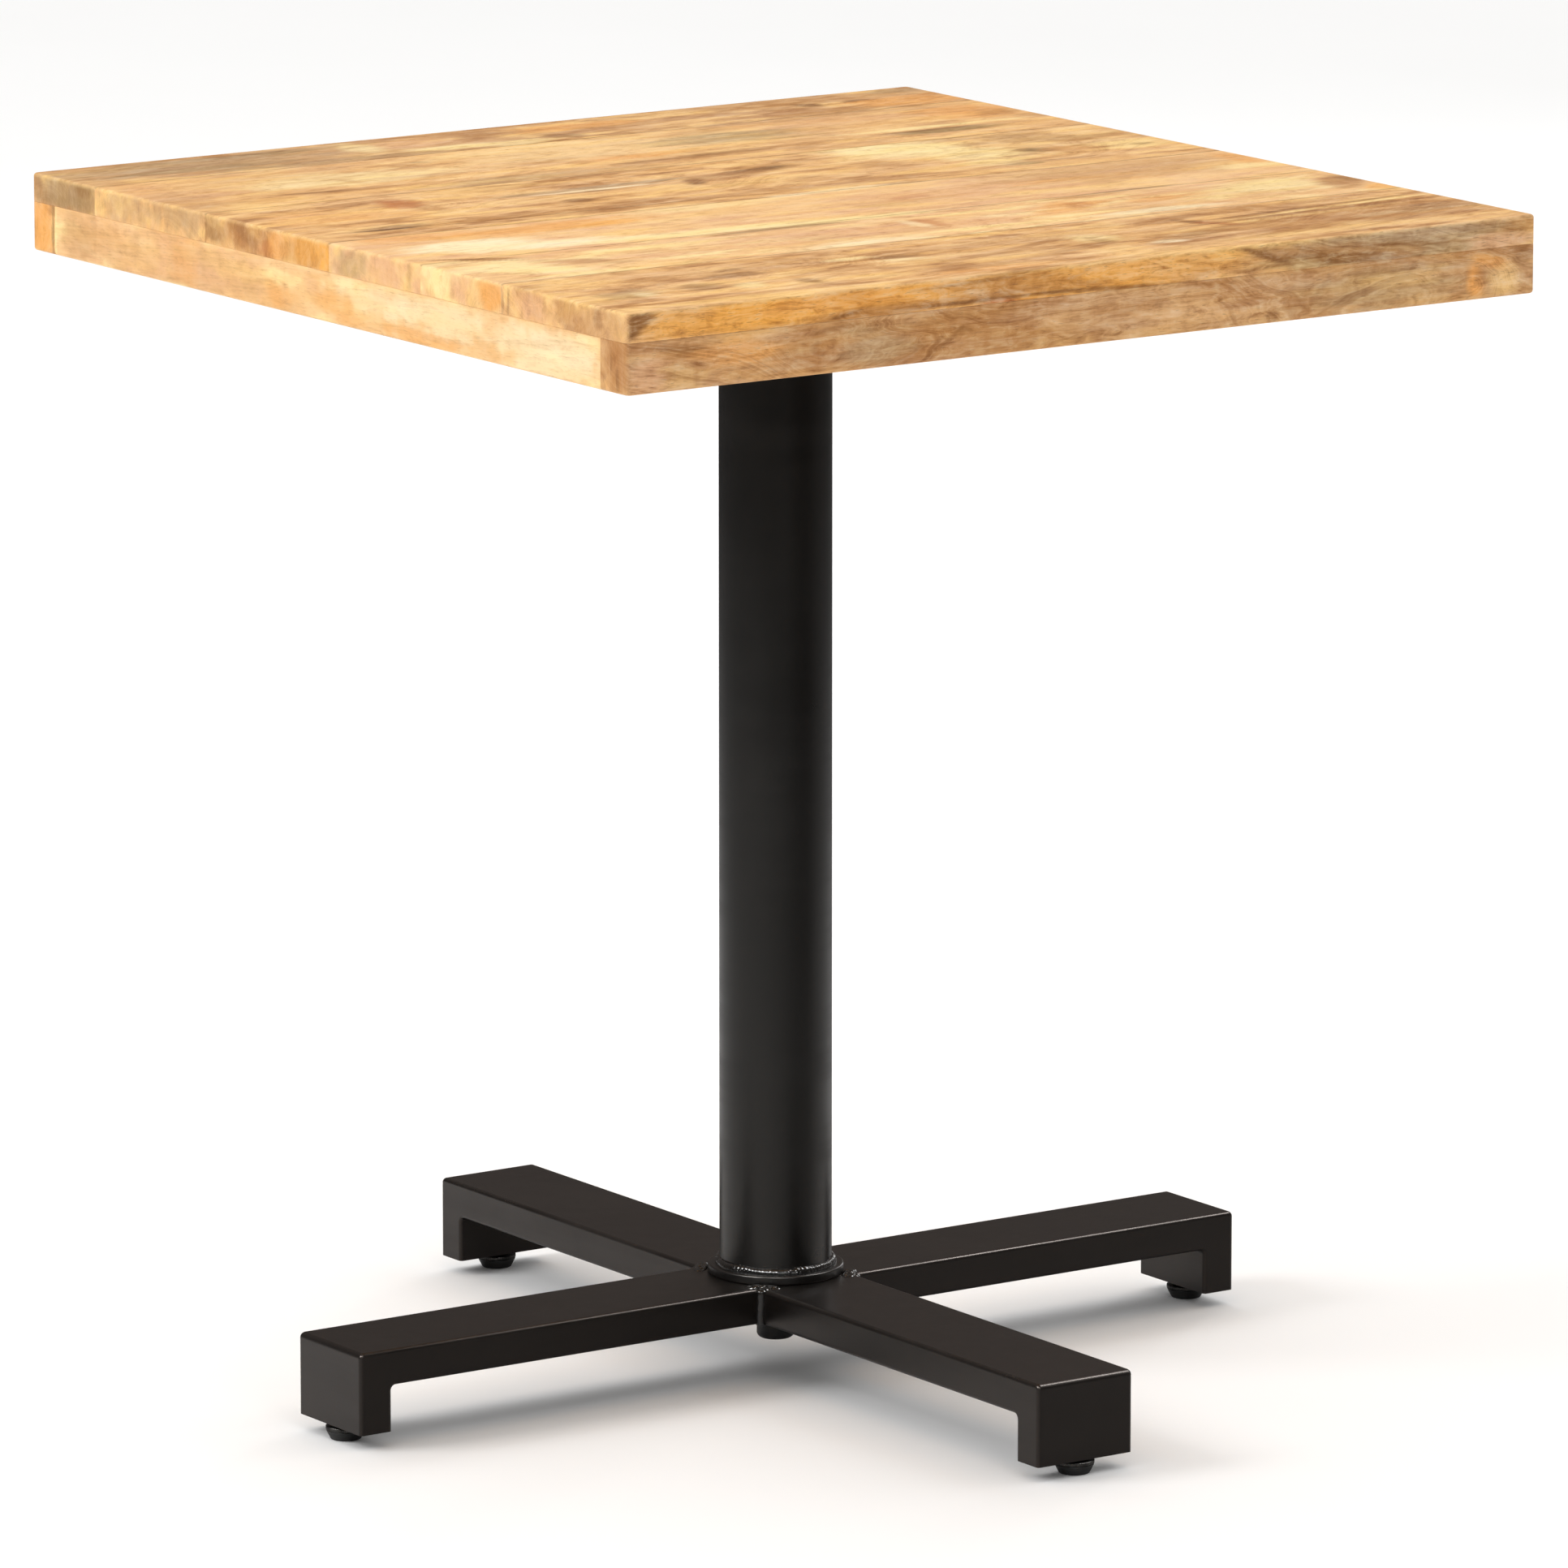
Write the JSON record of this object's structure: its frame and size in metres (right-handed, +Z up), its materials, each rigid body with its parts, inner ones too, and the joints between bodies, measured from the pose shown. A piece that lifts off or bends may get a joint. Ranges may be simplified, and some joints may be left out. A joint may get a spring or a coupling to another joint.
{
  "type": "bistro table",
  "caption": "Square boarded wood table top on a round black steel column, which stands on a cross of rectangular tube with levelling feet.",
  "frame": {"origin": "on the floor, under the column's axis", "axes": "+Z up; +X to the right along the top's boards; +Y to the back; the front edge faces -Y"},
  "size_m": [0.672, 0.672, 0.75],
  "materials": {
    "wood_top": "satin oiled mango wood with strong colour variation",
    "black_steel": "satin black powder coat",
    "weld_bead": "weld bead under glossy black paint",
    "zinc_fastener": "blackened and zinc-plated fasteners",
    "black_plastic": "matt black moulded plastic"
  },
  "bodies": {
    "table": {"top_board_1": "wood_top", "top_board_2": "wood_top", "top_board_3": "wood_top", "top_board_4": "wood_top", "top_board_5": "wood_top", "top_board_6": "wood_top", "edge_strip_front": "wood_top", "edge_strip_back": "wood_top", "edge_strip_left": "wood_top", "edge_strip_right": "wood_top", "mounting_plate": "black_steel", "plate_screws": "zinc_fastener", "column_tube": "black_steel", "column_top_weld": "weld_bead", "column_foot_weld": "weld_bead", "column_collar": "black_steel", "column_plug": "black_steel", "column_stud": "zinc_fastener", "stud_washer": "zinc_fastener", "stud_nut": "zinc_fastener", "stud_nut_cap": "black_plastic", "long_beam": "black_steel", "short_beam_front": "black_steel", "short_beam_back": "black_steel", "leg_left": "black_steel", "leg_right": "black_steel", "leg_front": "black_steel", "leg_back": "black_steel", "cross_welds": "weld_bead", "foot_plate_left": "black_steel", "foot_plate_right": "black_steel", "foot_plate_front": "black_steel", "foot_plate_back": "black_steel", "foot_nuts": "zinc_fastener"},
    "pad_left": {"foot_pad_left": "black_plastic"},
    "screw_left": {"foot_screw_left": "zinc_fastener"},
    "pad_right": {"foot_pad_right": "black_plastic"},
    "screw_right": {"foot_screw_right": "zinc_fastener"},
    "pad_front": {"foot_pad_front": "black_plastic"},
    "screw_front": {"foot_screw_front": "zinc_fastener"},
    "pad_back": {"foot_pad_back": "black_plastic"},
    "screw_back": {"foot_screw_back": "zinc_fastener"}
  },
  "joints": [
    {"name": "level_left", "type": "slide", "parent": "table", "child": "pad_left", "axis": [0, 0, -1], "range_m": [-0.00094, 0.0075]},
    {"name": "turn_left", "type": "hinge", "parent": "pad_left", "child": "screw_left", "pos_m": [-0.3225, 0, 0.02], "axis": [0, 0, -1], "range_deg": [-271, 2161]},
    {"name": "level_right", "type": "slide", "parent": "table", "child": "pad_right", "axis": [0, 0, -1], "range_m": [-0.00094, 0.0075]},
    {"name": "turn_right", "type": "hinge", "parent": "pad_right", "child": "screw_right", "pos_m": [0.3225, 0, 0.02], "axis": [0, 0, -1], "range_deg": [-271, 2161]},
    {"name": "level_front", "type": "slide", "parent": "table", "child": "pad_front", "axis": [0, 0, -1], "range_m": [-0.00094, 0.0075]},
    {"name": "turn_front", "type": "hinge", "parent": "pad_front", "child": "screw_front", "pos_m": [0, -0.3225, 0.02], "axis": [0, 0, -1], "range_deg": [-271, 2161]},
    {"name": "level_back", "type": "slide", "parent": "table", "child": "pad_back", "axis": [0, 0, -1], "range_m": [-0.00094, 0.0075]},
    {"name": "turn_back", "type": "hinge", "parent": "pad_back", "child": "screw_back", "pos_m": [0, 0.3225, 0.02], "axis": [0, 0, -1], "range_deg": [-271, 2161]}
  ],
  "couplings": [
    {"joint": "turn_left", "follows": "level_left", "rad_per_m": 5026.5},
    {"joint": "turn_right", "follows": "level_right", "rad_per_m": 5026.5},
    {"joint": "turn_front", "follows": "level_front", "rad_per_m": 5026.5},
    {"joint": "turn_back", "follows": "level_back", "rad_per_m": 5026.5}
  ]
}
